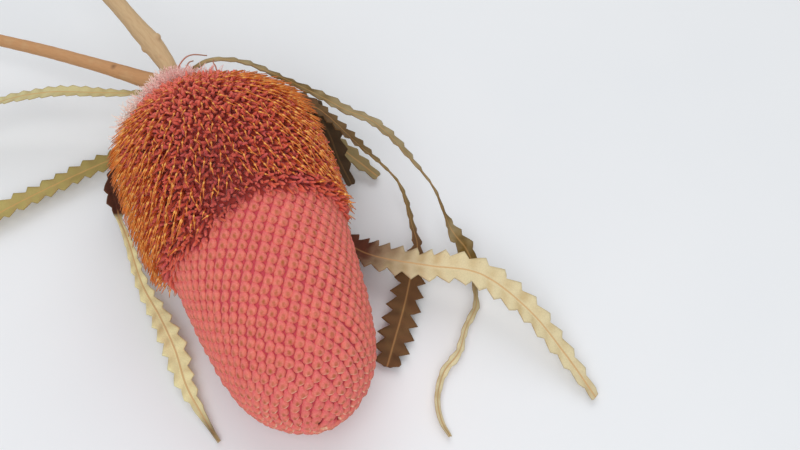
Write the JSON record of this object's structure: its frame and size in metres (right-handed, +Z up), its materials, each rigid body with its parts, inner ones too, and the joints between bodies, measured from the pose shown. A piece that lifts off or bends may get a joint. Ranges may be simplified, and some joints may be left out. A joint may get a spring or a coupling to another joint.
{
  "type": "banksia cone",
  "caption": "Cut, dried banksia flower spike lying on its side: closed pink buds at the tip, open florets with wiry orange styles at the stem end, woody stem and saw-toothed leaves.",
  "frame": {"origin": "middle of the flat under the closed buds, where the spike is pressed against the surface it lies on", "axes": "+Z up from that surface; the spike's tip points to -Y and slightly down, its stem to +Y; +X is to the right seen from the tip"},
  "size_m": [0.1892, 0.2218, 0.0685],
  "materials": {
    "closed_buds": "dry, finely felted, matt",
    "open_florets": "dry tubes and wiry styles, matt",
    "stem": "thin rough bark, matt",
    "leaf_upper_left": "dry leathery leaf, matt",
    "leaf_lower_left": "dry leathery leaf, matt",
    "leaf_front_left": "dry leathery leaf, matt",
    "leaf_far_right": "dry leathery leaf, matt",
    "leaf_near_right": "dry leathery leaf, matt",
    "leaf_dark_right": "dry leathery leaf, matt",
    "leaf_short_dark": "dry leathery leaf, matt",
    "leaf_short_pale": "dry leathery leaf, matt"
  },
  "bodies": {
    "root": {"closed_buds": "closed_buds", "open_florets": "open_florets", "stem": "stem", "leaf_upper_left": "leaf_upper_left", "leaf_lower_left": "leaf_lower_left", "leaf_front_left": "leaf_front_left", "leaf_far_right": "leaf_far_right", "leaf_near_right": "leaf_near_right", "leaf_dark_right": "leaf_dark_right", "leaf_short_dark": "leaf_short_dark", "leaf_short_pale": "leaf_short_pale"}
  },
  "joints": []
}
